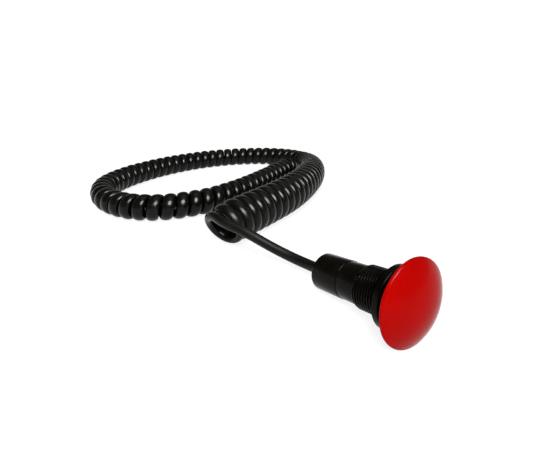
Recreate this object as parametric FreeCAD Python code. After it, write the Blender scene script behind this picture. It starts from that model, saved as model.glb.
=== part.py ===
import FreeCAD, Part
import math
import os
from FreeCAD import Placement, Rotation, Vector

# Pendant push button: a red mushroom cap on a threaded barrel, a contact housing with a rear cap,
# and a curly cord that lies in a ring on the same surface. Millimetres, +Z up.
# Each piece of the head is made along +X, with the plane of the cap's rim at zero and the cap in
# front of it. The whole head is then laid on its rim and its rear edge, as it rests on a table.

# Driving dimensions of the cap and its plunger
cap_diameter = 40.0
cap_dome_height = 6.3
cap_rim_band = 1.2
cap_wall = 2.2
cap_rim_round = 0.6
cap_shoulder_round = 1.8
cap_boss_drop = 1.2
cap_boss_rim = 0.4
bush_wall = 3.0
stem_shoulder = 1.0
stem_spigot_length = 6.0
stem_land_length = 0.6
stem_tail_wall = 0.8
stem_pin_radius = 1.2
stem_pin_length = 3.4
travel = 4.0
stop_gap = 1.0
clip_thickness = 0.7
clip_groove_depth = 0.7

# Driving dimensions of the barrel and what sits in it
bezel_diameter = 29.8
bezel_thickness = 3.2
bezel_front_round = 0.9
bezel_rear_round = 0.6
sleeve_wall = 2.5
sleeve_length = 2.6
thread_diameter = 22.0
thread_pitch = 1.5
thread_length = 13.5
thread_depth = 0.8
thread_crest = 0.45
thread_valley = 0.35
thread_runout = 0.6
neck_relief = 0.7
neck_length = 2.2
barrel_wall = 3.2
web_depth = 12.0
web_thickness = 2.0
stem_seal_width = 2.0
gasket_height = 1.9
gasket_width = 1.9
spigot_length = 2.0
spigot_step = 1.6
spigot_bore_step = 0.3

# Driving dimensions of the housing, the contacts and the rear cap
housing_diameter = 19.7
housing_wall = 2.45
housing_chamfer = 0.5
rear_step = 1.25
rear_spigot_length = 4.0
rear_cap_overhang = 0.2
rear_cap_length = 18.1
rear_cap_wall = 2.5
rear_cap_rib = 0.6
rear_cap_round = 1.0
seal_ring_width = 0.9
base_thickness = 3.7
base_inset = 3.5
base_recess_depth = 2.6
strip_thickness = 0.8
strip_width = 3.4
strip_inset = 2.2
strip_tail = 5.0
contact_tip_share = 0.36
contact_tip_height = 0.5
contact_tip_inset_share = 0.43
bridge_inset = 0.3
screw_radius = 0.75
screw_head_radius = 1.5
screw_head_height = 0.9
screw_length = 1.9

# Driving dimensions of the springs
return_spring_wire = 1.1
return_spring_turns = 4.5
bridge_spring_wire = 0.6
bridge_spring_turns = 3.5
SPRING_CORNERS = 12

# Driving dimensions of the cord
cord_diameter = 6.2
sheath_inside = 5.8
core_radius = 0.85
core_spacing = 1.1
grommet_wall = 1.5
grommet_lip = 1.2
grommet_lip_thickness = 1.0
clamp_width = 2.0
clamp_wall = 1.7
tail_core_length = 24.0
ferrule_length = 8.0
ferrule_radius = 0.7
collar_length = 3.2
collar_wall = 0.35
cord_rest_gap = 0.1

# Clearances
seat_gap = 0.03
slide_gap = 0.06
contact_gap = 0.05
recess_gap = 0.3
arm_gap = 0.4
spring_gap = 0.45
spring_bore_gap = 0.55

# The cord's route. Each point is (x, y, z): x and y are measured from the point where the cord
# leaves the rear cap, and z from the surface. The first two points of the lead follow the axis
# of the head. A point of the coil is (x, y, outer radius): it lies that radius above the surface.
LEAD_ROUTE = [
    (-24.0, -3.3, 8.0),
    (-36.5, -11.2, 12.5),
    (-50.5, -20.7, 19.5),
    (-64.5, -28.5, 25.0),
    (-79.5, -29.8, 26.2),
]
LEAD_EXIT_RUN = 11.0
COIL_ROUTE = [
    (-75.0, -27.5, 15.2),
    (-90.5, 13.5, 15.2),
    (-110.5, 60.0, 15.2),
    (-146.5, 112.0, 14.6),
    (-186.5, 146.5, 12.8),
    (-225.0, 158.5, 11.4),
    (-265.5, 147.0, 10.9),
    (-289.5, 109.5, 10.7),
    (-298.0, 60.0, 10.7),
    (-288.5, 8.0, 10.7),
    (-263.5, -41.5, 10.7),
    (-229.5, -72.5, 10.7),
    (-187.5, -77.5, 10.7),
    (-148.5, -55.5, 10.7),
    (-137.5, -12.0, 10.7),
    (-151.0, 32.0, 10.7),
    (-177.5, 80.5, 10.7),
    (-206.5, 126.5, 10.7),
]
TAIL_ROUTE = [
    (-203.6, 123.6, 18.3),
    (-210.9, 118.5, 17.0),
    (-216.0, 112.4, 12.8),
    (-218.2, 104.6, 8.2),
    (-217.0, 95.9, 4.9),
    (-213.0, 86.7, 3.4),
    (-206.4, 76.0, 3.2),
    (-199.5, 66.1, 3.2),
]
ARC_SHARE = 0.45

# Radii worked out from the dimensions
cap_radius = cap_diameter / 2
thread_root_radius = thread_diameter / 2 - thread_depth
neck_radius = thread_diameter / 2 - neck_relief
bush_bore_radius = thread_root_radius - barrel_wall
stem_radius = bush_bore_radius - bush_wall
stem_spigot_radius = stem_radius - stem_shoulder
stem_tail_radius = stem_pin_radius + stem_tail_wall
return_spring_radius = stem_radius + spring_gap + return_spring_wire / 2
spring_bore_radius = return_spring_radius + return_spring_wire / 2 + spring_bore_gap
cap_boss_radius = return_spring_radius + cap_boss_rim
sleeve_radius = spring_bore_radius + sleeve_wall
spigot_radius = bush_bore_radius + spigot_step
spigot_bore_radius = bush_bore_radius - spigot_bore_step
clip_radius = (stem_radius + spigot_bore_radius) / 2
rear_cap_diameter = housing_diameter + 2 * rear_cap_overhang
rear_spigot_radius = housing_diameter / 2 - rear_step
rear_cap_bore_radius = rear_spigot_radius - rear_cap_rib
housing_bore_radius = housing_diameter / 2 - housing_wall
strip_offset = housing_bore_radius - strip_inset
contact_arm = strip_offset - stem_tail_radius - arm_gap
contact_tip_radius = contact_arm * contact_tip_share
tip_offset = strip_offset - contact_arm * contact_tip_inset_share
bridge_half_length = strip_offset - bridge_inset
bridge_spring_radius = stem_pin_radius + spring_gap + bridge_spring_wire / 2
base_recess_radius = bridge_spring_radius + bridge_spring_wire / 2 + spring_bore_gap
cord_radius = cord_diameter / 2

# Places along the axis, worked out from the dimensions
bezel_front = -(travel + stop_gap)
bezel_rear = bezel_front - bezel_thickness
thread_front = bezel_rear - neck_length
barrel_rear = thread_front - thread_length
sleeve_front = bezel_front + sleeve_length
boss_end = -cap_boss_drop
web_front = -web_depth
web_rear = web_front - web_thickness
bush_rear = barrel_rear + spigot_length
bush_front = web_rear - stem_seal_width
clip_front = bush_rear - contact_gap
clip_rear = clip_front - clip_thickness
land_rear = clip_rear - stem_land_length
arm_front = land_rear - travel - arm_gap
arm_rear = arm_front - strip_thickness
bridge_front = arm_rear - contact_gap - 2 * contact_tip_height
bridge_rear = bridge_front - strip_thickness
base_front = bridge_rear - travel - recess_gap
base_rear = base_front - base_thickness
housing_rear = base_rear + base_inset
rear_end = housing_rear - rear_cap_length
rear_wall_front = rear_end + rear_cap_wall
strip_end = base_rear - strip_tail
screw_place = strip_end + screw_head_radius + contact_tip_height
sheath_front = rear_end + sheath_inside


def ring_edges(shape, place, radius):
    """The circular edges of a turned shape at one place on the axis and one radius."""
    found = []
    for edge in shape.Edges:
        if not isinstance(edge.Curve, Part.Circle):
            continue
        same_place = abs(edge.Curve.Center.x - place) < 1e-4
        same_radius = abs(edge.Curve.Radius - radius) < 1e-4
        if same_place and same_radius:
            found.append(edge)
    return found


def rounded(shape, place, radius, size):
    return shape.makeFillet(size, ring_edges(shape, place, radius))


def bevelled(shape, place, radius, size):
    return shape.makeChamfer(size, ring_edges(shape, place, radius))


def turned(corners):
    """A solid turned about X from (place, radius) corners."""
    points = [Vector(place, radius, 0) for place, radius in corners]
    points.append(points[0])
    face = Part.Face(Part.makePolygon(points))
    return face.revolve(Vector(0, 0, 0), Vector(1, 0, 0), 360)


def rod(rear, front, radius):
    return Part.makeCylinder(radius, front - rear, Vector(rear, 0, 0), Vector(1, 0, 0))


def washer(rear, front, outer, inner):
    return rod(rear, front, outer).cut(rod(rear - 1, front + 1, inner))


def block(rear, front, low_y, high_y, width):
    return Part.makeBox(front - rear, high_y - low_y, width, Vector(rear, low_y, -width / 2))


def disc(centre, direction, radius):
    return Part.Face(Part.Wire(Part.makeCircle(radius, centre, direction)))


def tube(points, radii, name=None, resting=False):
    """Straight runs joined by tangent arcs, round in section, with one radius to each point.

    A resting tube that gets thinner gets lower too: each arc then takes the radius that its
    lowest end allows, so no part of it goes below the surface.
    """
    radii = list(radii)
    runs = [points[i + 1] - points[i] for i in range(len(points) - 1)]
    pieces = []
    length = 0.0
    volume = 0.0
    start = points[0]
    bends = []
    for i in range(1, len(points) - 1):
        before = Vector(runs[i - 1]).normalize()
        after = Vector(runs[i]).normalize()
        turn = before.getAngle(after)
        reach = ARC_SHARE * min(runs[i - 1].Length, runs[i].Length)
        bend = reach / math.tan(turn / 2)
        bends.append(bend)
        arc_start = points[i] - before * reach
        arc_end = points[i] + after * reach
        if resting:
            radii[i] -= points[i].z - min(arc_start.z, arc_end.z)
        pieces.append(straight(start, arc_start, radii[i - 1], radii[i]))
        hinge = before.cross(after).normalize()
        centre = arc_start + hinge.cross(before).normalize() * bend
        elbow = disc(arc_start, before, radii[i]).revolve(centre, hinge, math.degrees(turn))
        pieces.append(elbow)
        length += (arc_start - start).Length + bend * turn
        volume += pieces[-2].Volume + math.pi * radii[i] ** 2 * bend * turn
        start = arc_end
    pieces.append(straight(start, points[-1], radii[-2], radii[-1]))
    length += (points[-1] - start).Length
    volume += pieces[-1].Volume
    solid = pieces[0].multiFuse(pieces[1:]).removeSplitter()
    if len(solid.Solids) == 1:
        solid = solid.Solids[0]
    if name:
        print(name, "length", round(length, 1), "volume", round(solid.Volume), "by length", round(volume))
        print(name, "arc radii", [round(bend, 1) for bend in bends])
    return solid


def straight(start, end, start_radius, end_radius):
    axis = end - start
    if abs(start_radius - end_radius) < 1e-6:
        return Part.makeCylinder(start_radius, axis.Length, start, axis)
    return Part.makeCone(start_radius, end_radius, axis.Length, start, axis)


def coil_spring(rear, front, mean_radius, wire, turns):
    """A compression spring about X: its wire bends along a helix, its ends inside rear and front."""
    steps = round(turns * SPRING_CORNERS)
    corner_radius = mean_radius / math.cos(math.pi / SPRING_CORNERS)
    rise = (front - rear - wire) / steps
    route = []
    for step in range(steps + 1):
        angle = 2 * math.pi * step / SPRING_CORNERS
        place = rear + wire / 2 + rise * step
        route.append(Vector(place, corner_radius * math.cos(angle), corner_radius * math.sin(angle)))
    return tube(route, [wire / 2] * len(route))


# The head's pieces, each along its own axis

def mushroom_cap():
    apex = cap_rim_band + cap_dome_height
    sphere = (cap_radius ** 2 + cap_dome_height ** 2) / (2 * cap_dome_height)
    inner_sphere = sphere - cap_wall
    ball = Part.makeSphere(sphere, Vector(apex - sphere, 0, 0))
    band = rod(0, apex, cap_radius)
    body = ball.common(band)
    hollow_ball = Part.makeSphere(inner_sphere, Vector(apex - sphere, 0, 0))
    hollow = hollow_ball.common(rod(-1, apex, cap_radius - cap_wall))
    body = rounded(body, cap_rim_band, cap_radius, cap_shoulder_round)
    body = rounded(body, 0, cap_radius, cap_rim_round)
    body = body.cut(hollow)
    boss = rod(boss_end, apex - cap_wall, cap_boss_radius)
    body = body.fuse(boss).removeSplitter()
    socket = rod(boss_end - 1, boss_end + stem_spigot_length, stem_spigot_radius + seat_gap)
    return body.cut(socket)


def plunger_stem():
    groove = stem_radius - clip_groove_depth
    return turned([
        (boss_end + stem_spigot_length - contact_gap, 0),
        (boss_end + stem_spigot_length - contact_gap, stem_spigot_radius),
        (boss_end, stem_spigot_radius),
        (boss_end, stem_radius),
        (clip_front, stem_radius),
        (clip_front, groove),
        (clip_rear, groove),
        (clip_rear, stem_radius),
        (land_rear, stem_radius),
        (land_rear, stem_tail_radius),
        (bridge_front, stem_tail_radius),
        (bridge_front, stem_pin_radius),
        (bridge_rear - stem_pin_length + strip_thickness, stem_pin_radius),
        (bridge_rear - stem_pin_length + strip_thickness, 0),
    ])


def retaining_clip():
    groove = stem_radius - clip_groove_depth + seat_gap
    ring = washer(clip_rear, clip_front, clip_radius, groove)
    mouth = Part.makeBox(3 * clip_thickness, clip_radius * 2, groove * 1.7,
                         Vector(clip_rear - clip_thickness, 0, -groove * 0.85))
    return ring.cut(mouth)


def bezel():
    outer = bezel_diameter / 2
    ring = washer(bezel_rear, bezel_front, outer, sleeve_radius + seat_gap)
    ring = rounded(ring, bezel_front, outer, bezel_front_round)
    return rounded(ring, bezel_rear, outer, bezel_rear_round)


def threaded_barrel():
    crest = thread_diameter / 2
    shoulder = bezel_rear - seat_gap
    outline = [
        (sleeve_front, spring_bore_radius),
        (sleeve_front, sleeve_radius),
        (shoulder, sleeve_radius),
        (shoulder, neck_radius),
        (thread_front, neck_radius),
    ]
    ridges = int((thread_length - thread_runout) / thread_pitch)
    slope = (thread_pitch - thread_crest - thread_valley) / 2
    for ridge in range(ridges):
        place = thread_front - ridge * thread_pitch
        outline.append((place, thread_root_radius))
        outline.append((place - slope, crest))
        outline.append((place - slope - thread_crest, crest))
        outline.append((place - 2 * slope - thread_crest, thread_root_radius))
    outline += [
        (barrel_rear, thread_root_radius),
        (barrel_rear, spigot_radius + seat_gap),
        (bush_rear, spigot_radius + seat_gap),
        (bush_rear, bush_bore_radius),
        (web_rear, bush_bore_radius),
        (web_rear, stem_radius + recess_gap),
        (web_front, stem_radius + recess_gap),
        (web_front, spring_bore_radius),
    ]
    return turned(outline)


def panel_gasket():
    front = bezel_rear - 2 * seat_gap
    rear = front - gasket_width
    outer = neck_radius + gasket_height
    ring = washer(rear, front, outer, neck_radius + seat_gap)
    return rounded(ring, rear, outer, gasket_width * 0.45)


def guide_bush():
    return washer(bush_rear, bush_front, bush_bore_radius - seat_gap, stem_radius + slide_gap)


def stem_seal():
    ring = washer(bush_front + seat_gap, web_rear - seat_gap, bush_bore_radius - seat_gap,
                  stem_radius + slide_gap)
    place = (bush_front + web_rear) / 2
    depth = (bush_bore_radius - stem_radius) * 0.3
    relief = washer(place - stem_seal_width * 0.2, place + stem_seal_width * 0.2,
                    stem_radius + depth, stem_radius)
    return ring.cut(relief)


def contact_housing():
    body = turned([
        (bush_rear - seat_gap, spigot_bore_radius),
        (bush_rear - seat_gap, spigot_radius),
        (barrel_rear, spigot_radius),
        (barrel_rear, housing_diameter / 2),
        (housing_rear, housing_diameter / 2),
        (housing_rear, rear_spigot_radius),
        (housing_rear - rear_spigot_length, rear_spigot_radius),
        (housing_rear - rear_spigot_length, housing_bore_radius),
        (barrel_rear - strip_thickness, housing_bore_radius),
        (barrel_rear - strip_thickness, spigot_bore_radius),
    ])
    return bevelled(body, housing_rear, housing_diameter / 2, housing_chamfer)


def contact_base():
    disc_body = rod(base_rear, base_front, housing_bore_radius - seat_gap)
    recess = rod(base_front - base_recess_depth, base_front + 1, base_recess_radius)
    disc_body = disc_body.cut(recess)
    for side in (-1, 1):
        low = side * (strip_offset + strip_thickness / 2) - strip_thickness / 2 - seat_gap
        slot = block(base_rear - 1, base_front + 1, low, low + strip_thickness + 2 * seat_gap,
                     strip_width + 2 * seat_gap)
        disc_body = disc_body.cut(slot)
    return disc_body


def fixed_contact(side):
    """A strip through the base, its arm bent in front of the bridge, with a raised tip."""
    strip = block(strip_end, arm_front, strip_offset, strip_offset + strip_thickness, strip_width)
    arm = block(arm_rear, arm_front, strip_offset - contact_arm, strip_offset, strip_width)
    tip = Part.makeCylinder(contact_tip_radius, contact_tip_height,
                            Vector(arm_rear - contact_tip_height, tip_offset, 0), Vector(1, 0, 0))
    hole = Part.makeCylinder(screw_radius + seat_gap, 4 * strip_thickness,
                             Vector(screw_place, strip_offset - strip_thickness, 0), Vector(0, 1, 0))
    piece = strip.fuse([arm, tip]).removeSplitter().cut(hole)
    if side < 0:
        piece = piece.mirror(Vector(0, 0, 0), Vector(0, 1, 0))
    return piece


def contact_bridge():
    strip = block(bridge_rear, bridge_front, -bridge_half_length, bridge_half_length, strip_width)
    hole = rod(bridge_rear - 1, bridge_front + 1, stem_pin_radius + seat_gap)
    for side in (-1, 1):
        tip = Part.makeCylinder(contact_tip_radius, contact_tip_height,
                                Vector(bridge_front, side * tip_offset, 0), Vector(1, 0, 0))
        strip = strip.fuse(tip)
    return strip.removeSplitter().cut(hole)


def terminal_screws():
    screws = []
    for side in (-1, 1):
        under = side * (strip_offset + strip_thickness)
        head = Part.makeCylinder(screw_head_radius, screw_head_height,
                                 Vector(screw_place, under, 0), Vector(0, side, 0))
        shank = Part.makeCylinder(screw_radius, screw_length,
                                  Vector(screw_place, under, 0), Vector(0, -side, 0))
        slot = Part.makeBox(2 * screw_head_radius + 1, 0.8, 0.4,
                            Vector(screw_place - screw_head_radius - 0.5,
                                   under + side * screw_head_height - 0.4, -0.2))
        screws.append(head.fuse(shank).removeSplitter().cut(slot))
    return Part.makeCompound(screws)


def inner_core(side):
    """An insulated core from the end of the sheath to the tail of its strip."""
    near = side * core_spacing
    beside = side * (strip_offset - core_radius - seat_gap)
    start = sheath_front + contact_gap
    run = screw_place - screw_radius - contact_gap - start
    route = [
        Vector(start, near, 0),
        Vector(start + 0.32 * run, near, 0),
        Vector(start + 0.68 * run, beside, 0),
        Vector(start + run, beside, 0),
    ]
    return tube(route, [core_radius] * len(route))


def rear_cap():
    spigot_room = rear_spigot_length + seal_ring_width
    body = turned([
        (housing_rear - seat_gap, rear_spigot_radius + seat_gap),
        (housing_rear - seat_gap, rear_cap_diameter / 2),
        (rear_end, rear_cap_diameter / 2),
        (rear_end, cord_radius + grommet_wall + seat_gap),
        (rear_wall_front, cord_radius + grommet_wall + seat_gap),
        (rear_wall_front, rear_cap_bore_radius),
        (housing_rear - spigot_room, rear_cap_bore_radius),
        (housing_rear - spigot_room, rear_spigot_radius + seat_gap),
    ])
    return rounded(body, rear_end, rear_cap_diameter / 2, rear_cap_round)


def cap_seal_ring():
    front = housing_rear - rear_spigot_length - seat_gap
    rear = housing_rear - rear_spigot_length - seal_ring_width + seat_gap
    return washer(rear, front, rear_spigot_radius, housing_bore_radius + seat_gap)


def cord_grommet():
    bore = cord_radius + seat_gap
    outer = cord_radius + grommet_wall
    return turned([
        (rear_end, bore),
        (rear_end, outer),
        (rear_wall_front + seat_gap, outer),
        (rear_wall_front + seat_gap, outer + grommet_lip),
        (rear_wall_front + seat_gap + grommet_lip_thickness, outer + grommet_lip),
        (rear_wall_front + seat_gap + grommet_lip_thickness, bore),
    ])


def cord_clamp():
    rear = rear_wall_front + grommet_lip_thickness + 2 * seat_gap
    ring = washer(rear, rear + clamp_width, cord_radius + clamp_wall, cord_radius + seat_gap)
    split = Part.makeBox(clamp_width + 2, 1.2, 2 * clamp_wall + cord_radius,
                         Vector(rear - 1, -0.6, cord_radius - clamp_wall))
    return ring.cut(split)


def sheath_end():
    return rod(rear_end, sheath_front, cord_radius)


# Laying the head on its rim and its rear edge

rim_centre_radius = cap_radius - cap_rim_round
rear_centre_radius = rear_cap_diameter / 2 - rear_cap_round
rim_centre_place = cap_rim_round
rear_centre_place = rear_end + rear_cap_round
contact_span = rim_centre_place - rear_centre_place
contact_drop = rim_centre_radius - rear_centre_radius
contact_distance = math.hypot(contact_span, contact_drop)
lie_angle = math.atan2(contact_drop, contact_span)
lie_angle += math.asin((cap_rim_round - rear_cap_round) / contact_distance)
axis_height = cap_rim_round + rim_centre_radius * math.cos(lie_angle)
axis_height -= rim_centre_place * math.sin(lie_angle)
lean_back = Rotation(Vector(0, 1, 0), -math.degrees(lie_angle))


def laid(shape, shift=0.0):
    moved = shape.copy()
    moved.Placement = Placement(Vector(shift, 0, axis_height), lean_back).multiply(shape.Placement)
    return moved


head = {
    "mushroom_cap": mushroom_cap(),
    "plunger_stem": plunger_stem(),
    "retaining_clip": retaining_clip(),
    "return_spring": coil_spring(web_front, boss_end, return_spring_radius,
                                 return_spring_wire, return_spring_turns),
    "bezel": bezel(),
    "threaded_barrel": threaded_barrel(),
    "panel_gasket": panel_gasket(),
    "guide_bush": guide_bush(),
    "stem_seal": stem_seal(),
    "contact_housing": contact_housing(),
    "contact_base": contact_base(),
    "fixed_contact_left": fixed_contact(1),
    "fixed_contact_right": fixed_contact(-1),
    "contact_bridge": contact_bridge(),
    "bridge_spring": coil_spring(base_front - base_recess_depth, bridge_rear, bridge_spring_radius,
                                 bridge_spring_wire, bridge_spring_turns),
    "terminal_screws": terminal_screws(),
    "core_brown": inner_core(1),
    "core_blue": inner_core(-1),
    "rear_cap": rear_cap(),
    "cap_seal_ring": cap_seal_ring(),
    "cord_grommet": cord_grommet(),
    "cord_clamp": cord_clamp(),
    "sheath_end": sheath_end(),
}
box = Part.makeCompound([laid(shape) for shape in head.values()]).optimalBoundingBox(False, False)
centre_shift = -(box.XMin + box.XMax) / 2
pieces = {name: laid(shape, centre_shift) for name, shape in head.items()}

# The cord's solids: the lead, the coil as one fat tube, and the tail with its stripped cores

exit_point = Placement(Vector(centre_shift, 0, axis_height), lean_back).multVec(Vector(rear_end, 0, 0))
axis_direction = lean_back.multVec(Vector(1, 0, 0))


def from_exit(point):
    return Vector(exit_point.x + point[0], exit_point.y + point[1], point[2])


lead_points = [exit_point, exit_point - axis_direction * LEAD_EXIT_RUN]
lead_points += [from_exit(point) for point in LEAD_ROUTE]
coil_points = [from_exit((x, y, radius + cord_rest_gap)) for x, y, radius in COIL_ROUTE]
tail_points = [from_exit(point) for point in TAIL_ROUTE]
pieces["cord_lead"] = tube(lead_points, [cord_radius] * len(lead_points), "cord_lead")
coil_radii = [radius for x, y, radius in COIL_ROUTE]
pieces["cord_coil"] = tube(coil_points, coil_radii, "cord_coil", resting=True)
pieces["cord_tail"] = tube(tail_points, [cord_radius] * len(tail_points), "cord_tail")

tail_end = tail_points[-1]
tail_direction = Vector(tail_end - tail_points[-2]).normalize()
tail_side = Vector(0, 0, 1).cross(tail_direction)


def tail_core(side):
    """A stripped core that fans out from the end of the tail's sheath."""
    start = tail_end + tail_side * side * core_spacing
    middle = start + tail_direction * tail_core_length * 0.35
    end = start + tail_direction * tail_core_length + tail_side * side * 3.0
    route = [start, middle, end - Vector(0, 0, 1.6)]
    return tube(route, [core_radius] * len(route)), route


ferrules = []
for name, side in (("tail_core_brown", 1), ("tail_core_blue", -1)):
    core, route = tail_core(side)
    pieces[name] = core
    along = Vector(route[-1] - route[-2]).normalize()
    collar = Part.makeCylinder(core_radius + collar_wall, collar_length, route[-1], along)
    barrel = Part.makeCylinder(ferrule_radius, ferrule_length, route[-1], along)
    ferrules.append(collar.fuse(barrel).removeSplitter())
pieces["core_ferrules"] = Part.makeCompound(ferrules)

os.makedirs("parts", exist_ok=True)
for name, shape in pieces.items():
    shape.exportStep("parts/" + name + ".step")

print("pieces", len(pieces), "valid", all(shape.isValid() for shape in pieces.values()))
print("lie angle", round(math.degrees(lie_angle), 3), "axis height", round(axis_height, 3),
      "centre shift", round(centre_shift, 4))
print("exit point", [round(value, 4) for value in exit_point])
print("axis", [round(value, 6) for value in axis_direction])
for label, place in (("bezel rear", bezel_rear), ("thread front", thread_front),
                     ("barrel rear", barrel_rear), ("rim", 0.0)):
    point = Placement(Vector(centre_shift, 0, axis_height), lean_back).multVec(Vector(place, 0, 0))
    print(label, round(place, 3), [round(value, 4) for value in point])
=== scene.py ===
import math

import bmesh
import bpy
from bpy.props import FloatProperty, FloatVectorProperty, IntProperty, PointerProperty
from mathutils import Matrix, Vector, noise


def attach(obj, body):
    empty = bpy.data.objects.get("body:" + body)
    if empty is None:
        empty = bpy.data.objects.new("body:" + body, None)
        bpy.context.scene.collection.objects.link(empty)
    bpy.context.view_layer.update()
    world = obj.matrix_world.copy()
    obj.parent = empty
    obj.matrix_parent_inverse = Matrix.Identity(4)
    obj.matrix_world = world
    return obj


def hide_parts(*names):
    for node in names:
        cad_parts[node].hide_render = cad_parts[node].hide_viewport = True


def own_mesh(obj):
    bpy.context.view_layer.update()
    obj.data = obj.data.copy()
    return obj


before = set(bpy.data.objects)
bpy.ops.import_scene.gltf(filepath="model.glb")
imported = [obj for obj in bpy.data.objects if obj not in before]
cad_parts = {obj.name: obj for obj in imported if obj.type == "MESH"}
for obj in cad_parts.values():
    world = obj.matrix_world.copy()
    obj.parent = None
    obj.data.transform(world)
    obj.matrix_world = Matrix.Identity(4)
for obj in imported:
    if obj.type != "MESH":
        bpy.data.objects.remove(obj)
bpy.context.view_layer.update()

bl_info = {
    "name": "Pendant Push Button",
    "version": (1, 0, 0),
    "blender": (4, 5, 0),
    "location": "3D View > Sidebar > Push Button",
    "description": "Builds a mushroom push button with its threaded barrel and curly cord",
    "category": "Object",
}

MM = 0.001
UP = Vector((0.0, 0.0, 1.0))

# The head lies on the rim of its cap and on its rear edge. Its own axis points towards the cap,
# and places along it are counted from the plane of the rim.
RIM_CENTRE = Vector((22.8495, 0.0, 19.5495)) * MM
HEAD_AXIS = Vector((0.982534, 0.0, 0.186081))
CORD_EXIT = Vector((-29.1265, 0.0, 9.7059)) * MM

# The cord's route in millimetres, with x and y counted from the exit and z from the table.
# A point of the coil holds the coil's outer radius instead of a height.
LEAD_ROUTE = [
    (-24.0, -3.3, 8.0),
    (-36.5, -11.2, 12.5),
    (-50.5, -20.7, 19.5),
    (-64.5, -28.5, 22.6),
]
COIL_ROUTE = [
    (-75.0, -27.5, 15.2),
    (-90.5, 13.5, 15.2),
    (-110.5, 60.0, 15.2),
    (-147.2, 111.0, 14.6),
    (-187.2, 145.5, 12.8),
    (-225.0, 158.5, 11.4),
    (-265.5, 147.0, 10.9),
    (-289.5, 109.5, 10.7),
    (-298.0, 60.0, 10.7),
    (-288.5, 8.0, 10.7),
    (-263.5, -41.5, 10.7),
    (-229.5, -72.5, 10.7),
    (-187.5, -77.5, 10.7),
    (-148.5, -55.5, 10.7),
    (-139.0, -11.0, 10.7),
    (-153.4, 33.8, 10.7),
    (-180.0, 82.2, 10.7),
    (-206.5, 126.5, 10.7),
]
TAIL_ROUTE = [
    (-210.9, 118.5, 17.0),
    (-216.0, 112.4, 12.8),
    (-218.2, 104.6, 8.2),
    (-217.0, 95.9, 4.9),
    (-213.0, 86.7, 3.4),
    (-206.4, 76.0, 3.2),
    (-199.5, 66.1, 3.2),
]
# The cord starts inside the rear cap and leaves it straight: places along the head's axis
LEAD_STARTS = (3.0, -4.0, -11.0)
REST_GAP = 0.1
PER_TURN = 14
SECTION_STEPS = 16
AXIS_RESOLUTION = 12
CORD_RESOLUTION = 4
HEADING_REACH = 0.004
SAME_PLACE = 1e-6

# How far the turns stray from a perfect coil, in millimetres, as a share and in degrees, and how
# fast that changes from turn to turn
DRIFT, DRIFT_PACE = 0.2, 0.31
SIZE_PLAY, SIZE_PACE = 0.012, 0.6
LEAN_PLAY, LEAN_PACE = 3.0, 0.23
# Turns over which the first turn's smaller size dies away, and over which the cord flattens
TIGHT_TURNS = 0.9
FLATTENING_TURNS = 0.8
# The stretch of the lead, along X, over which its sheath turns dull from handling
HANDLED = (-0.108, -0.086)

PLAIN_SEGMENTS = 128
FINE_SEGMENTS = 160
ROUNDING_STEPS = 5
ROUNDING_SHARE = 0.48
NO_RADIUS = 1e-6
SHARP_EDGE = math.radians(32)
SPRING_PER_TURN = 40
SPRING_AROUND = 12
CLOSED_TURNS = 0.8

# The view, in millimetres from the exit, at the photograph's angle
EYE = (120.64, -115.30, 103.84)
EYE_RIGHT = (0.544, 0.839, 0.0)
EYE_AHEAD = (-0.7627, 0.4945, -0.4168)
FOCAL_PIXELS = 350.0
PHOTO_WIDTH = 533.0
SHIFT_PIXELS = (-1.0, 1.2)
SENSOR_WIDTH = 36.0

# The lamps' sizes, places and targets in metres
KEY_LAMP = (0.45, (0.42, -0.37, 0.7), (-0.05, 0.02, 0.01))
PANEL_LAMP = (0.6, (0.53, -0.02, 0.76), (-0.05, 0.02, 0.01))
FILL_LAMP = (1.2, (-0.2, 0.3, 1.3), (-0.1, 0.02, 0.0))
TABLE_REACH = 12.0
WHITE = (1.0, 1.0, 1.0, 1.0)
SKY_STOPS = [(0.0, (0.5, 0.5, 0.5)), (0.1, (0.4, 0.4, 0.4)), (0.4, (0.14, 0.14, 0.13)),
             (1.0, (0.1, 0.1, 0.1))]


class Flow:
    """A socket of a shader, in which arithmetic adds Math nodes."""

    def __init__(self, shader, socket):
        self.shader = shader
        self.socket = socket

    def _math(self, operation, *values, clamp=False):
        return self.shader.node("ShaderNodeMath", {"operation": operation, "use_clamp": clamp},
                                dict(enumerate(values)))

    def __add__(self, other):
        return self._math("ADD", self, other)

    def __radd__(self, other):
        return self._math("ADD", other, self)

    def __rsub__(self, other):
        return self._math("SUBTRACT", other, self)

    def __mul__(self, other):
        return self._math("MULTIPLY", self, other)

    def __rmul__(self, other):
        return self._math("MULTIPLY", other, self)

    def clamped(self):
        return self._math("ADD", self, 0.0, clamp=True)

    def between(self, low, high):
        """0 below low, 1 above high and smooth between them."""
        return self.shader.node("ShaderNodeMapRange", {"interpolation_type": "SMOOTHSTEP"},
                                {"Value": self, "From Min": low, "From Max": high})


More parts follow.
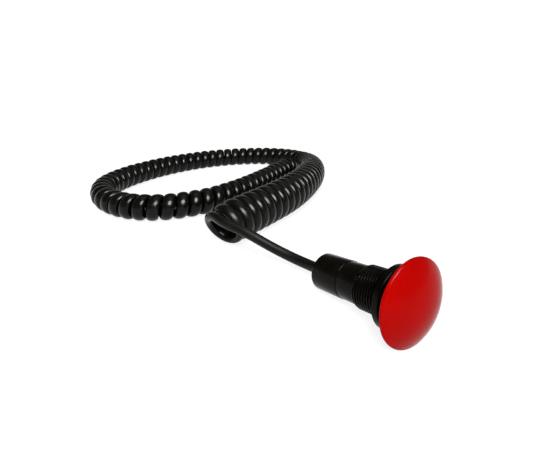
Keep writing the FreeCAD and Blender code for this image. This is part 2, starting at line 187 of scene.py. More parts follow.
class Finish:
    """The nodes of a procedural material or sky, with one method that adds any node."""

    def __init__(self, owner, output="ShaderNodeOutputMaterial"):
        owner.use_nodes = True
        self.owner = owner
        self.tree = owner.node_tree
        self.tree.nodes.clear()
        self.output = self.tree.nodes.new(output)

    def node(self, kind, settings=None, inputs=None, out=0):
        made = self.tree.nodes.new(kind)
        for key, value in (settings or {}).items():
            if key == "stops":
                self._stops(made.color_ramp, value)
            else:
                setattr(made, key, value)
        for key, value in (inputs or {}).items():
            socket = made.inputs[key]
            if isinstance(value, Flow):
                self.tree.links.new(value.socket, socket)
            else:
                socket.default_value = value
        return Flow(self, made.outputs[out])

    @staticmethod
    def _stops(ramp, stops):
        while len(ramp.elements) > 1:
            ramp.elements.remove(ramp.elements[-1])
        for index, (place, colour) in enumerate(stops):
            element = ramp.elements[0] if index == 0 else ramp.elements.new(place)
            element.position = place
            element.color = (*colour, 1.0)

    def place(self):
        return self.node("ShaderNodeTexCoord", out="Object")

    def along_x(self):
        return self.node("ShaderNodeSeparateXYZ", None, {0: self.place()})

    def speckle(self, scale, detail, roughness=0.5):
        return self.node("ShaderNodeTexNoise", None, {
            "Vector": self.place(), "Scale": scale, "Detail": detail, "Roughness": roughness})

    def blend(self, amount, first, second):
        """A colour mix of two colours by a value."""
        return self.node("ShaderNodeMix", {"data_type": "RGBA"},
                         {0: amount, 6: first, 7: second}, out=2)

    def bump(self, height, strength, distance):
        return self.node("ShaderNodeBump", None,
                         {"Height": height, "Strength": strength, "Distance": distance})

    def mixed(self, amount, first, second):
        """A mix of two shaders by a value."""
        return self.node("ShaderNodeMixShader", None, {0: amount, 1: first, 2: second})

    def rays(self):
        """1 for the rays seen straight, in a reflection and through something."""
        return [self.node("ShaderNodeLightPath", out=f"Is {kind} Ray")
                for kind in ("Camera", "Glossy", "Transmission")]

    def show(self, shader):
        self.tree.links.new(shader.socket, self.output.inputs["Surface"])
        return self.owner

    def surface(self, **sockets):
        inputs = {name.replace("_", " "): value for name, value in sockets.items()}
        return self.show(self.node("ShaderNodeBsdfPrincipled", None, inputs))


def new_finish(name):
    return Finish(bpy.data.materials.new(name))


def opaque(colour, share=1.0, lift=0.0):
    """A colour with full alpha, of which each value is scaled and lifted."""
    return (*(value * share + lift for value in colour[:3]), 1.0)


def moulded_black(name, colour, roughness, grain):
    """Smooth black moulding with faint flow marks and a few dull rubbed spots."""
    finish = new_finish(name)
    cloudy = finish.speckle(140.0, detail=4.0, roughness=0.6)
    fine = finish.speckle(900.0, detail=2.0)
    tone = finish.blend(cloudy.between(0.35, 0.75), opaque(colour), opaque(colour, 1.5, 0.0006))
    dull = roughness + 0.07 * cloudy.between(0.45, 0.8)
    return finish.surface(Base_Color=tone, Roughness=dull, Specular_IOR_Level=0.07,
                          Normal=finish.bump(fine + 0.5 * cloudy, grain, 0.0002))


def cap_red(name, colour):
    """Glossy red moulding, a little deeper in cloudy patches."""
    finish = new_finish(name)
    cloudy = finish.speckle(60.0, detail=3.0)
    fine = finish.speckle(1400.0, detail=2.0)
    tone = finish.blend(cloudy.between(0.3, 0.8), opaque(colour), opaque(colour, 0.9))
    return finish.surface(Base_Color=tone, Roughness=0.08 + 0.04 * cloudy,
                          Specular_IOR_Level=0.03, Normal=finish.bump(fine, 0.02, 0.0001))


def cord_sheath(name, colour):
    """Glossy extruded sheath with draw marks and a waxy bloom, duller where it is handled."""
    finish = new_finish(name)
    cloudy = finish.speckle(90.0, detail=4.0, roughness=0.6)
    fine = finish.speckle(1800.0, detail=3.0, roughness=0.6)
    tone = finish.blend(cloudy.between(0.4, 0.8), opaque(colour), opaque(colour, 1.5, 0.0006))
    handled = finish.along_x().between(*HANDLED)
    dull = 0.2 + 0.1 * cloudy.between(0.35, 0.8) + 0.2 * handled
    return finish.surface(Base_Color=tone, Roughness=dull, Specular_IOR_Level=0.15,
                          Normal=finish.bump(fine, 0.1, 0.0001))


def rubber(name, colour):
    """Dull rubber with a fine even grain."""
    finish = new_finish(name)
    fine = finish.speckle(1500.0, detail=4.0, roughness=0.6)
    tone = finish.blend(fine, opaque(colour), opaque(colour, 1.5, 0.004))
    return finish.surface(Base_Color=tone, Roughness=0.45 + 0.2 * fine,
                          Normal=finish.bump(fine, 0.2, 0.0002))


def plain_moulding(name, colour, roughness):
    """Satin moulding of an inner piece, slightly uneven in tone."""
    finish = new_finish(name)
    cloudy = finish.speckle(220.0, detail=4.0, roughness=0.6)
    fine = finish.speckle(1300.0, detail=3.0)
    tone = finish.blend(cloudy, opaque(colour, 0.85), opaque(colour))
    return finish.surface(Base_Color=tone, Roughness=roughness + 0.1 * cloudy,
                          Normal=finish.bump(fine, 0.15, 0.0002))


def drawn_metal(name, colour, roughness):
    """Bare metal with fine scratches and a few darker, oxidised patches."""
    finish = new_finish(name)
    stretched = finish.node("ShaderNodeMapping", None,
                            {"Vector": finish.place(), "Scale": (300.0, 3000.0, 3000.0)})
    scratch = finish.node("ShaderNodeTexNoise", None,
                          {"Vector": stretched, "Scale": 1.0, "Detail": 3.0})
    patch = finish.speckle(350.0, detail=4.0, roughness=0.6)
    tone = finish.blend(patch.between(0.45, 0.8), opaque(colour), opaque(colour, 0.6))
    return finish.surface(Base_Color=tone, Metallic=1.0, Roughness=roughness + 0.2 * scratch,
                          Normal=finish.bump(scratch, 0.15, 0.0001))


def shown(name, data):
    """An object of the scene that holds the data."""
    made = bpy.data.objects.new(name, data)
    bpy.context.scene.collection.objects.link(made)
    return made


def placed(name, work, matrix=None):
    """A piece of the scene from a bmesh, which is freed."""
    if matrix is not None:
        work.transform(matrix)
    mesh = bpy.data.meshes.new(name)
    work.to_mesh(mesh)
    work.free()
    return shown(name, mesh)


def oriented(right, rise, back):
    """The rotation whose axes are the three given directions."""
    return Matrix((right, rise, back)).transposed().to_4x4()


def head_matrix():
    """From the head's own frame, along +X with the rim at zero, to the table's frame."""
    across = Vector((0.0, 1.0, 0.0))
    return Matrix.Translation(RIM_CENTRE) @ oriented(HEAD_AXIS, across, HEAD_AXIS.cross(across))


def eased(value):
    """The value kept between 0 and 1, with a smooth start and end."""
    value = min(max(value, 0.0), 1.0)
    return value * value * (3 - 2 * value)


def softened(corners):
    """A profile of (place, radius, rounding) corners with each rounding turned into an arc."""
    made = []
    for index, corner in enumerate(corners):
        here = Vector(corner[:2])
        if len(corner) < 3 or index in (0, len(corners) - 1):
            made.append((here.x, here.y))
            continue
        back = Vector(corners[index - 1][:2]) - here
        ahead = Vector(corners[index + 1][:2]) - here
        reach = min(corner[2] / math.tan(back.angle(ahead) / 2),
                    ROUNDING_SHARE * back.length, ROUNDING_SHARE * ahead.length)
        start = here + back.normalized() * reach
        end = here + ahead.normalized() * reach
        for step in range(ROUNDING_STEPS + 1):
            t = step / ROUNDING_STEPS
            point = start * (1 - t) ** 2 + here * 2 * t * (1 - t) + end * t ** 2
            made.append((point.x, point.y))
    return made


def join_rings(work, first, second):
    """Faces between two rings of vertices, of which one may be a single point on the axis."""
    count = max(len(first), len(second))
    if count == 1:
        return
    for index in range(count):
        after = (index + 1) % count
        if len(first) == 1:
            work.faces.new((first[0], second[after], second[index]))
        elif len(second) == 1:
            work.faces.new((first[index], first[after], second[0]))
        else:
            work.faces.new((first[index], first[after], second[after], second[index]))


def tube_skin(work, rings):
    """A closed skin over rings of vertices, smooth along the tube and flat at both ends."""
    for back, ahead in zip(rings[:-1], rings[1:]):
        join_rings(work, back, ahead)
    work.faces.new(list(reversed(rings[0])))
    work.faces.new(rings[-1])
    bmesh.ops.recalc_face_normals(work, faces=work.faces)
    for face in work.faces:
        face.smooth = len(face.verts) == 4


def turned(name, corners, segments=PLAIN_SEGMENTS, closed=True, wobble=None):
    """A piece turned about the head's axis from (place, radius, rounding) corners in millimetres.

    The wobble gives a point's own place and radius from those of its corner and its angle.
    """
    work = bmesh.new()
    rings = []
    for place, radius in softened(corners):
        if radius < NO_RADIUS:
            rings.append([work.verts.new((place * MM, 0.0, 0.0))])
            continue
        ring = []
        for index in range(segments):
            angle = 2 * math.pi * index / segments
            along, reach = wobble(place, radius, angle) if wobble else (place, radius)
            ring.append(work.verts.new((along * MM, reach * MM * math.cos(angle),
                                        reach * MM * math.sin(angle))))
        rings.append(ring)
    pairs = list(zip(rings[:-1], rings[1:]))
    if closed:
        pairs.append((rings[-1], rings[0]))
    for first, second in pairs:
        join_rings(work, first, second)
    bmesh.ops.recalc_face_normals(work, faces=work.faces)
    for edge in work.edges:
        edge.smooth = len(edge.link_faces) < 2 or edge.calc_face_angle() < SHARP_EDGE
    for face in work.faces:
        face.smooth = True
    return placed(name, work, head_matrix())


def wound_spring(name, rear, front, mean_radius, wire, turns):
    """A compression spring about the head's axis, in millimetres, with closed ends."""
    pitch = (front - rear - wire * (1 + 2 * CLOSED_TURNS)) / (turns - 2 * CLOSED_TURNS)
    work = bmesh.new()
    rings = []
    for index in range(int(turns * SPRING_PER_TURN) + 1):
        turn = index / SPRING_PER_TURN
        start = min(turn, CLOSED_TURNS)
        end = max(turn - (turns - CLOSED_TURNS), 0.0)
        place = rear + wire / 2 + (start + end) * wire + (turn - start - end) * pitch
        angle = 2 * math.pi * turn
        outward = Vector((0.0, math.cos(angle), math.sin(angle)))
        centre = Vector((place, 0.0, 0.0)) + outward * mean_radius
        ring = []
        for step in range(SPRING_AROUND):
            side = 2 * math.pi * step / SPRING_AROUND
            offset = outward * math.cos(side) + Vector((math.sin(side), 0.0, 0.0))
            ring.append(work.verts.new((centre + offset * (wire / 2)) * MM))
        rings.append(ring)
    tube_skin(work, rings)
    return placed(name, work, head_matrix())


def dress(piece, material, body, slot_name, *nodes):
    """Gives a piece its material and body, and hides the CAD nodes that it replaces. The slot
    name is not used.
    """
    piece.data.materials.clear()
    piece.data.materials.append(material)
    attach(piece, body)
    if nodes:
        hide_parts(*nodes)
    return piece


def paint_node(node, material):
    """Gives a carried-over CAD node a finish."""
    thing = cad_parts[node]
    thing = bpy.data.objects[thing] if isinstance(thing, str) else thing
    if thing.material_slots:
        for place in thing.material_slots:
            place.material = material
    else:
        thing.data.materials.append(material)


def smooth_line(points, resolution):
    """Points along the NURBS line that has the given control points, ends included."""
    curve = bpy.data.curves.new("route_line", "CURVE")
    curve.dimensions = "3D"
    spline = curve.splines.new("NURBS")
    spline.points.add(len(points) - 1)
    for place, point in zip(spline.points, points):
        place.co = (*point, 1.0)
    spline.order_u = 3
    spline.use_endpoint_u = True
    spline.resolution_u = resolution
    holder = bpy.data.objects.new("route_line", curve)
    mesh = bpy.data.meshes.new_from_object(holder)
    line = [mesh.vertices[0].co.copy()]
    for vertex in mesh.vertices:
        if (vertex.co - line[-1]).length > SAME_PLACE:
            line.append(vertex.co.copy())
    bpy.data.objects.remove(holder)
    bpy.data.curves.remove(curve)
    bpy.data.meshes.remove(mesh)
    return line


class Walk:
    """A line of points that can be asked for its place and heading at any length along it."""

    def __init__(self, points):
        self.points = points
        self.marks = [0.0]
        for first, second in zip(points[:-1], points[1:]):
            self.marks.append(self.marks[-1] + (second - first).length)
        self.length = self.marks[-1]

    def at(self, length):
        length = min(max(length, 0.0), self.length)
        low, high = 0, len(self.marks) - 1
        while high - low > 1:
            middle = (low + high) // 2
            if self.marks[middle] <= length:
                low = middle
            else:
                high = middle
        span = self.marks[high] - self.marks[low]
        share = (length - self.marks[low]) / span if span > 0 else 0.0
        return self.points[low].lerp(self.points[high], share)

    def heading(self, length):
        """The level direction of the line at a length, taken a little way to both sides."""
        ahead = self.at(length + HEADING_REACH) - self.at(length - HEADING_REACH)
        ahead.z = 0.0
        return ahead.normalized()


def from_exit(x, y, z):
    return Vector((CORD_EXIT.x + x * MM, CORD_EXIT.y + y * MM, z * MM))


def turn_place(turn, sizes):
    """How far along the coil a turn stands, counted in pitches: the first turns stand closer."""
    spread = sizes.gathered_turns
    return turn - sizes.gathering * spread * math.sqrt(math.pi) / 2 * math.erf(turn / spread)


def stray(turn, pace, row, column):
    """A value from -1 to 1 that changes slowly from turn to turn, the same in each run."""
    return noise.noise(Vector((turn * pace, row, column)))


def coil_points(sizes):
    """Control points of the coil's turns, which pass over the top, to the left and under.

    With each point goes the direction of its turn's own axis, along which the cord is wide.
    """
    axis = Walk(smooth_line([from_exit(x, y, radius + REST_GAP) for x, y, radius in COIL_ROUTE],
                            AXIS_RESOLUTION))
    wire = sizes.coil_thickness / 2
    start = sizes.coil_start
    run = axis.length - sizes.coil_end - start
    # The line touches the middles of the legs between its points, so they stand further out
    swell = 1 / math.cos(math.pi / PER_TURN)
    made = []
    across = []
    for index in range(sizes.turns * PER_TURN + 1):
        turn = index / PER_TURN
        share = turn_place(turn, sizes) / turn_place(sizes.turns, sizes)
        drift = DRIFT * MM * stray(turn, DRIFT_PACE, 4.2, 0.0)
        length = start + run * share + drift
        place = axis.at(length)
        ahead = axis.heading(length)
        outer = place.z - REST_GAP * MM
        radius = (outer - wire) * (1 + SIZE_PLAY * stray(turn, SIZE_PACE, 0.0, 7.1))
        radius *= 1 - sizes.first_tightness * math.exp(-(turn / TIGHT_TURNS) ** 2)
        lean = math.radians(sizes.first_lean) * math.exp(-turn / sizes.lean_turns)
        lean += math.radians(LEAN_PLAY) * stray(turn, LEAN_PACE, 9.0, 3.0)
        left = UP.cross(ahead).normalized()
        rise = UP * math.cos(lean) - ahead * math.sin(lean)
        depth = math.hypot(wire * math.cos(lean), sizes.coil_width / 2 * math.sin(lean))
        centre = Vector((place.x, place.y, radius * math.cos(lean) + depth + REST_GAP * MM))
        phase = 2 * math.pi * turn
        reach = radius * swell
        made.append(centre + rise * (math.cos(phase) * reach) + left * (math.sin(phase) * reach))
        across.append(rise.cross(left).normalized())
    return made, across


def square_to(direction, tangent):
    """The direction, turned so that it stands square to the tangent."""
    return (direction - tangent * direction.dot(tangent)).normalized()


def wound_frames(line, first, last, across):
    """For each point of the line, its heading and the direction in which the cord is wide.

    Between the places first and last on the line that direction follows the turns' own axes, and
    beyond them it is carried along the line without twisting.
    """
    count = len(line)
    tangents = []
    for index in range(count):
        ahead = line[min(index + 1, count - 1)] - line[max(index - 1, 0)]
        tangents.append(ahead.normalized())
    wide = [None] * count
    for index in range(first, last + 1):
        place = (index - first) / (last - first) * (len(across) - 1)
        low = min(int(place), len(across) - 2)
        wide[index] = square_to(across[low].lerp(across[low + 1], place - low), tangents[index])
    for index in range(last + 1, count):
        wide[index] = square_to(wide[index - 1], tangents[index])
    for index in range(first - 1, -1, -1):
        wide[index] = square_to(wide[index + 1], tangents[index])
    return tangents, wide


def cord_tube(name, line, first, last, across, sizes):
    """The cord's sheath: round in the lead and the tail, and flattened where it is wound."""
    tangents, wide = wound_frames(line, first, last, across)
    flattening = (last - first) / sizes.turns * FLATTENING_TURNS
    plain = sizes.cord_diameter / 2
    work = bmesh.new()
    rings = []
    for index, place in enumerate(line):
        wound = eased(min(index - first, last - index) / flattening)
        turn = (index - first) / (last - first) * sizes.turns
        closeness = 1 - sizes.gathering * math.exp(-(turn / sizes.gathered_turns) ** 2)
        half_width = plain + (sizes.coil_width / 2 * closeness - plain) * wound
        half_depth = plain + (sizes.coil_thickness / 2 - plain) * wound
        outward = tangents[index].cross(wide[index])
        ring = []
        for step in range(SECTION_STEPS):
            angle = 2 * math.pi * step / SECTION_STEPS
            offset = wide[index] * (half_width * math.cos(angle))
            offset += outward * (half_depth * math.sin(angle))
            ring.append(work.verts.new(place + offset))
        rings.append(ring)
    tube_skin(work, rings)
    return placed(name, work)


class ButtonSizes(bpy.types.PropertyGroup):
    """Sizes of the cord and the cap that a user may want to change."""

    cord_diameter: FloatProperty(
        name="Cord diameter", description="Outer diameter of the cord's sheath",
        default=6.2 * MM, min=0.002, unit="LENGTH", precision=4)
    coil_width: FloatProperty(
        name="Wound width", description="Width of the cord where it is wound",
        default=9.5 * MM, min=0.002, unit="LENGTH", precision=4)
    coil_thickness: FloatProperty(
        name="Wound thickness", description="Thickness of the cord where it is wound",
        default=5.2 * MM, min=0.002, unit="LENGTH", precision=4)
    turns: IntProperty(
        name="Turns", description="Turns of the coiled stretch", default=81, min=5)
    gathering: FloatProperty(
        name="Gathering", description="Share by which the first turns stand closer",
        default=0.15, min=0.0, max=0.4)
    gathered_turns: FloatProperty(
        name="Gathered turns", description="Turns over which that dies away",
        default=15.0, min=1.0)
    coil_start: FloatProperty(
        name="Coil start", description="Where the first turn starts along the coil's axis",
        default=3.0 * MM, unit="LENGTH", precision=4)
    coil_end: FloatProperty(
        name="Coil end", description="How far before the axis's end the last turn stops",
        default=4.0 * MM, unit="LENGTH", precision=4)
    first_tightness: FloatProperty(
        name="First turn", description="Share by which the first turn is smaller",
        default=0.13, min=0.0, max=0.5)
    first_lean: FloatProperty(
        name="First lean", description="Lean of the first turn in degrees", default=25.0)
    lean_turns: FloatProperty(
        name="Lean turns", description="Turns over which the lean dies away", default=7.0)
    cap_radius: FloatProperty(
        name="Cap radius", description="Radius of the mushroom cap",
        default=20.0 * MM, unit="LENGTH", precision=4)
    thread_radius: FloatProperty(
        name="Thread radius", description="Crest radius of the barrel's thread",
        default=11.0 * MM, unit="LENGTH", precision=4)
    cap_colour: FloatVectorProperty(
        name="Cap colour", description="Colour of the mushroom cap",
        subtype="COLOR", default=(0.33, 0.0012, 0.0006), min=0.0, max=1.0)
    body_colour: FloatVectorProperty(
        name="Body colour", description="Colour of the barrel and the housing",
        subtype="COLOR", default=(0.0018, 0.0015, 0.0007), min=0.0, max=1.0)
    cord_colour: FloatVectorProperty(
        name="Cord colour", description="Colour of the cord's sheath",
        subtype="COLOR", default=(0.0022, 0.0022, 0.0013), min=0.0, max=1.0)


class StageSettings(bpy.types.PropertyGroup):
    """The light and the table."""

    key_power: FloatProperty(
        name="Key light", description="Power of the soft light behind the camera",
        default=11.0, min=0.0, unit="POWER")
    panel_power: FloatProperty(
        name="Panel light", description="Power of the soft panel that glossy finishes reflect",
        default=34.0, min=0.0, unit="POWER")
    fill_power: FloatProperty(
        name="Fill light", description="Power of the wide light overhead",
        default=2.5, min=0.0, unit="POWER")
    table_colour: FloatVectorProperty(
        name="Table colour", description="Colour of the table",
        subtype="COLOR", default=(0.75, 0.75, 0.75), min=0.0, max=1.0)


class CordBuilder(bpy.types.Operator):
    """The plain lead, the curly stretch and the tail, as one smooth line"""

    bl_idname = "pendant.cord"
    bl_label = "Curly cord"

    def execute(self, context):
        sizes = context.scene.pendant_button
        lead = [CORD_EXIT + HEAD_AXIS * (place * MM) for place in LEAD_STARTS]
        lead += [from_exit(*point) for point in LEAD_ROUTE]
        tail = [from_exit(*point) for point in TAIL_ROUTE]
        wound, across = coil_points(sizes)
        points = lead + wound + tail
        line = smooth_line(points, CORD_RESOLUTION)
        per_point = (len(line) - 1) / (len(points) - 2)
        first = round((len(lead) - 0.5) * per_point)
        last = round((len(lead) + len(wound) - 1.5) * per_point)
        cord = cord_tube("curly_cord", line, first, last, across, sizes)
        dress(cord, cord_sheath("cord_sheath", sizes.cord_colour), "body", "cord_black",
              "cord_lead", "cord_coil", "cord_tail")
        return {"FINISHED"}


def on_ball(middle, ball, radii):
    """Corners on a ball about the axis, one for each radius."""
    return [(middle + math.sqrt(ball ** 2 - radius ** 2), radius) for radius in radii]


class CapBuilder(bpy.types.Operator):
    """The red mushroom cap with its rolled rim"""

    bl_idname = "pendant.cap"
    bl_label = "Mushroom cap"

    def execute(self, context):
        sizes = context.scene.pendant_button
        edge = sizes.cap_radius / MM
        apex, band, wall = 7.5, 1.2, 2.2
        boss, hole = 5.4, 3.03
        boss_root, boss_end, hole_end = 3.9, -1.2, 4.8
        height = apex - band
        ball = (edge ** 2 + height ** 2) / (2 * height)
        middle = apex - ball
        outside = [edge * step / 25 for step in range(1, 25)]
        inside = [(edge - wall) * step / 24 for step in range(24, 8, -1)]
        corners = [(apex, 0.0)] + on_ball(middle, ball, outside)
        corners += [(band, edge, 1.8), (0.0, edge, 0.6), (0.0, edge - wall, 0.3)]
        corners += on_ball(middle, ball - wall, inside)
        corners += [(boss_root, boss, 0.5), (boss_end, boss, 0.3), (boss_end, hole, 0.2),
                    (hole_end, hole), (hole_end, 0.0)]
        cap = turned("cap_shell", corners, FINE_SEGMENTS, closed=False)
        dress(cap, cap_red("cap_red", sizes.cap_colour), "plunger", "cap_red", "mushroom_cap")
        return {"FINISHED"}


class BarrelBuilder(bpy.types.Operator):
    """The threaded barrel with its flange, and the gasket behind it"""

    bl_idname = "pendant.barrel"
    bl_label = "Barrel and gasket"

    def execute(self, context):
        sizes = context.scene.pendant_button
        # Painted shade: the barrel and its flange take the body colour darkened to 0.45, so that
        # they render darker than the housing's black.
        shade = 0.45
        black = moulded_black("barrel_black", [value * shade for value in sizes.body_colour],
                              roughness=0.26, grain=0.06)
        dress(self.barrel(sizes.thread_radius / MM), black, "body", "barrel_black",
              "threaded_barrel")
        dress(self.flange(), black, "body", "barrel_black", "bezel")
        dress(self.gasket(), rubber("gasket_rubber", (0.018, 0.019, 0.017)), "body",
              "gasket_rubber", "panel_gasket")
        return {"FINISHED"}

    @staticmethod
    def barrel(crest):
        root = crest - 0.8
        # The shares of half a pitch that the groove's floor and its flank take
        groove_floor, flank = 0.22, 0.5
        pitch = 1.5
        thread_step = 0.125
        front, rear = -10.4, -23.9
        front_run_out, rear_run_out = 1.0, 1.2
        neck, spigot = 10.3, 8.6
        neck_front, socket_end = -8.23, -21.9
        socket, socket_bore = 8.63, 7.0
        guide_rear, guide_front, guide_bore = -14.0, -12.0, 4.3
        spring_bore, nose = 6.1, -2.4
        corners = [
            (guide_rear, guide_bore), (guide_front, guide_bore), (guide_front, spring_bore),
            (nose, spring_bore, 0.3), (nose, spigot, 0.4), (neck_front, spigot),
            (neck_front, neck), (front, neck),
        ]
        for step in range(1, int((front - rear) / thread_step)):
            corners.append((front - step * thread_step, crest))
        corners += [(rear, root, 0.2), (rear, socket), (socket_end, socket),
                    (socket_end, socket_bore), (guide_rear, socket_bore)]

        def helical(place, radius, angle):
            """A crest point's radius on the thread's flank, which runs out at both ends."""
            if abs(radius - crest) > NO_RADIUS:
                return place, radius
            phase = ((place - front) / pitch + angle / (2 * math.pi)) % 1.0
            height = eased((abs(phase - 0.5) * 2 - groove_floor) / flank)
            ends = min(1.0, (front - place) / front_run_out, (place - rear) / rear_run_out)
            return place, root + (crest - root) * height * max(ends, 0.0)

        return turned("barrel_shell", corners, FINE_SEGMENTS, wobble=helical)

    @staticmethod
    def flange():
        front, rear, bore, edge = -5.0, -8.2, 8.63, 14.9
        return turned("bezel_ring", [(rear, bore, 0.1), (front, bore, 0.3), (front, edge, 0.9),
                                     (rear, edge, 0.6)], FINE_SEGMENTS)

    @staticmethod
    def gasket():
        front, rear, bore, edge = -8.23, -10.13, 10.33, 12.2
        return turned("gasket_ring", [(front, bore, 0.2), (front, edge, 0.3), (rear, edge, 0.85),
                                      (rear, bore, 0.2)])


class HousingBuilder(bpy.types.Operator):
    """The contact housing and the rear cap"""

    bl_idname = "pendant.housing"
    bl_label = "Housing and rear cap"

    def execute(self, context):
        sizes = context.scene.pendant_button
        black = moulded_black("housing_black", sizes.body_colour, roughness=0.11, grain=0.03)
        dress(self.housing(), black, "body", "housing_black", "contact_housing")
        dress(self.rear_cap(), black, "body", "housing_black", "rear_cap")
        return {"FINISHED"}

    @staticmethod
    def housing():
        front, shoulder, seam, spigot_end = -21.93, -23.9, -34.8, -38.8
        front_bore, bore, bore_step = 6.7, 7.4, -24.7
        spigot, outside = 8.6, 9.85
        return turned("housing_shell", [
            (front, front_bore), (front, spigot), (shoulder, spigot), (shoulder, outside, 0.15),
            (seam, outside, 0.45), (seam, spigot), (spigot_end, spigot), (spigot_end, bore),
            (bore_step, bore), (bore_step, front_bore)])

    @staticmethod
    def rear_cap():
        seam, socket_end, inner_end, rear = -34.83, -39.7, -50.4, -52.9
        outside, socket, bore, cord_hole = 10.05, 8.63, 8.0, 4.63
        return turned("rear_shell", [
            (seam, socket), (seam, outside, 0.3), (rear, outside, 1.0), (rear, cord_hole, 0.25),
            (inner_end, cord_hole), (inner_end, bore), (socket_end, bore), (socket_end, socket)])


class SpringBuilder(bpy.types.Operator):
    """The return spring under the cap and the small spring behind the contact bridge"""

    bl_idname = "pendant.springs"
    bl_label = "Springs"

    def execute(self, context):
        steel = drawn_metal("spring_wire", (0.55, 0.56, 0.57), 0.25)
        self.spring("return_coil", "return_spring", steel, rear=-12.0, front=-1.2,
                    radius=5.0, wire=1.1, turns=5.2)
        self.spring("bridge_coil", "bridge_spring", steel, rear=-37.2, front=-30.3,
                    radius=1.95, wire=0.6, turns=4.2)
        return {"FINISHED"}

    def spring(self, name, node, steel, rear, front, radius, wire, turns):
        """A spring between its seats, carried by the body. The real one is pressed together
        towards its rear end when the button is pushed; this mesh is not.
        """
        seat_gap = 0.03
        piece = wound_spring(name, rear + seat_gap, front - seat_gap, radius, wire, turns)
        dress(piece, steel, "body", "spring_steel", node)
        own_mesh(piece)


class InnerFinisher(bpy.types.Operator):
    """Finishes for the pieces that are carried over from the solid model"""

    bl_idname = "pendant.inner"
    bl_label = "Inner pieces"

    def execute(self, context):
        steel = drawn_metal("spring_steel", (0.55, 0.56, 0.57), 0.25)
        brass = drawn_metal("contact_brass", (0.72, 0.55, 0.26), 0.28)
        tin = drawn_metal("ferrule_tin", (0.72, 0.72, 0.7), 0.25)
        seal = rubber("seal_rubber", (0.02, 0.02, 0.019))
        natural = plain_moulding("bush_plastic", (0.72, 0.7, 0.64), 0.5)
        stem = plain_moulding("stem_plastic", (0.05, 0.05, 0.05), 0.4)
        tan = plain_moulding("base_plastic", (0.45, 0.38, 0.27), 0.5)
        brown = plain_moulding("brown_insulation", (0.16, 0.06, 0.025), 0.35)
        blue = plain_moulding("blue_insulation", (0.02, 0.11, 0.4), 0.35)
        sheath = cord_sheath("sheath_stub", context.scene.pendant_button.cord_colour)
        finishes = {
            "plunger_stem": stem, "retaining_clip": steel, "guide_bush": natural,
            "stem_seal": seal, "contact_base": tan, "fixed_contact_left": brass,
            "fixed_contact_right": brass, "contact_bridge": brass, "terminal_screws": steel,
            "cap_seal_ring": seal, "cord_grommet": seal, "cord_clamp": tan,
            "sheath_end": sheath, "core_ferrules": tin, "core_brown": brown,
            "core_blue": blue, "tail_core_brown": brown, "tail_core_blue": blue,
        }
        for node, material in finishes.items():
            paint_node(node, material)
        return {"FINISHED"}


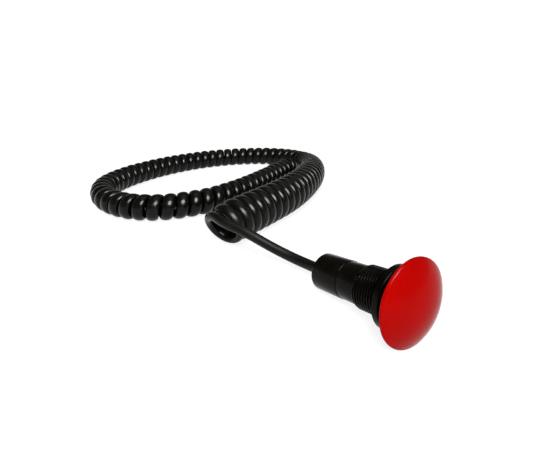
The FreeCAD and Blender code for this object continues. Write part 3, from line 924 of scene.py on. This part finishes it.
class StageBuilder(bpy.types.Operator):
    """The table, the studio light and the camera"""

    bl_idname = "pendant.stage"
    bl_label = "Table, light and camera"

    def execute(self, context):
        values = context.scene.pendant_stage
        self.camera()
        self.table(values)
        self.lamps(values)
        self.sky()
        context.scene.view_settings.view_transform = "Standard"
        return {"FINISHED"}

    def camera(self):
        data = bpy.data.cameras.new("photo_view")
        data.sensor_fit = "HORIZONTAL"
        data.sensor_width = SENSOR_WIDTH
        data.lens = SENSOR_WIDTH * FOCAL_PIXELS / PHOTO_WIDTH
        data.shift_x = SHIFT_PIXELS[0] / PHOTO_WIDTH
        data.shift_y = SHIFT_PIXELS[1] / PHOTO_WIDTH
        data.clip_start = 0.005
        data.clip_end = 50.0
        camera = shown("photo_view", data)
        right = Vector(EYE_RIGHT).normalized()
        ahead = Vector(EYE_AHEAD).normalized()
        eye = from_exit(*EYE)
        camera.matrix_world = (Matrix.Translation(eye)
                               @ oriented(right, right.cross(ahead), -ahead))
        bpy.context.scene.camera = camera

    def table(self, values):
        """A white table that glows where it is seen, so that it runs into the white backdrop."""
        mesh = bpy.data.meshes.new("table_top")
        mesh.from_pydata([(x * TABLE_REACH, y * TABLE_REACH, 0.0)
                          for x, y in ((-1, -1), (1, -1), (1, 1), (-1, 1))], [], [(0, 1, 2, 3)])
        table = shown("table_top", mesh)
        finish = new_finish("table_white")
        lit = finish.node("ShaderNodeBsdfDiffuse", None, {"Color": opaque(values.table_colour)})
        shadowed = finish.node("ShaderNodeBsdfDiffuse", None, {"Color": opaque(WHITE, 0.22)})
        near = finish.node("ShaderNodeEmission", None, {"Color": WHITE, "Strength": 0.87})
        far = finish.node("ShaderNodeEmission", None, {"Color": WHITE, "Strength": 1.0})
        distance = finish.node("ShaderNodeVectorMath", {"operation": "LENGTH"},
                               {0: finish.place()}, out=1)
        glow = finish.mixed(distance.between(0.3, 1.0), near, far)
        seen = finish.node("ShaderNodeAddShader", None, {0: shadowed, 1: glow})
        straight, glossy, through = finish.rays()
        finish.show(finish.mixed((straight + glossy + through).clamped(), lit, seen))
        mesh.materials.append(finish.owner)

    def lamps(self, values):
        """The key only lights, the panel is only reflected, and the fill does both."""
        key = self.lamp("key_light", values.key_power, *KEY_LAMP)
        key.visible_glossy = False
        panel = self.lamp("panel_light", values.panel_power, *PANEL_LAMP)
        panel.visible_diffuse = False
        self.lamp("fill_light", values.fill_power, *FILL_LAMP)

    def lamp(self, name, power, size, place, target):
        data = bpy.data.lights.new(name, "AREA")
        data.shape = "DISK"
        data.size = size
        data.energy = power
        lamp = shown(name, data)
        aim = (Vector(target) - Vector(place)).to_track_quat("-Z", "Y")
        lamp.matrix_world = Matrix.Translation(Vector(place)) @ aim.to_matrix().to_4x4()
        return lamp

    def sky(self):
        """A dim dome that lights the scene, and white where it is seen low or straight."""
        world = bpy.data.worlds.new("studio_sky")
        bpy.context.scene.world = world
        finish = Finish(world, "ShaderNodeOutputWorld")
        height = finish.node("ShaderNodeSeparateXYZ", None,
                             {0: finish.node("ShaderNodeTexCoord", out="Generated")}, out=2)
        shade = finish.node("ShaderNodeValToRGB", {"stops": SKY_STOPS}, {0: height})
        dome = finish.node("ShaderNodeBackground", None, {"Color": shade, "Strength": 1.0})
        white = finish.node("ShaderNodeBackground", None, {"Color": WHITE, "Strength": 1.0})
        straight, glossy, through = finish.rays()
        low = 1 - height.between(0.04, 0.16)
        finish.show(finish.mixed((straight + (glossy + through) * low).clamped(), dome, white))


class ButtonPanel(bpy.types.Panel):
    """The push button's builders and sizes"""

    bl_idname = "VIEW3D_PT_pendant_button"
    bl_label = "Push Button"
    bl_space_type = "VIEW_3D"
    bl_region_type = "UI"
    bl_category = "Push Button"

    def draw(self, context):
        layout = self.layout
        for builder in BUILDERS:
            layout.operator(builder.bl_idname)
        for group in (context.scene.pendant_button, context.scene.pendant_stage):
            for name in group.bl_rna.properties.keys():
                if name not in ("rna_type", "name"):
                    layout.prop(group, name)


BUILDERS = (StageBuilder, CordBuilder, CapBuilder, BarrelBuilder, HousingBuilder, SpringBuilder,
            InnerFinisher)
CLASSES = (ButtonSizes, StageSettings) + BUILDERS + (ButtonPanel,)


def register():
    for item in CLASSES:
        bpy.utils.register_class(item)
    bpy.types.Scene.pendant_button = PointerProperty(type=ButtonSizes)
    bpy.types.Scene.pendant_stage = PointerProperty(type=StageSettings)


def unregister():
    del bpy.types.Scene.pendant_stage
    del bpy.types.Scene.pendant_button
    for item in reversed(CLASSES):
        bpy.utils.unregister_class(item)


def main():
    register()
    bpy.ops.pendant.stage()
    bpy.ops.pendant.cord()
    bpy.ops.pendant.cap()
    bpy.ops.pendant.barrel()
    bpy.ops.pendant.housing()
    bpy.ops.pendant.springs()
    bpy.ops.pendant.inner()


if __name__ == "__main__":
    main()
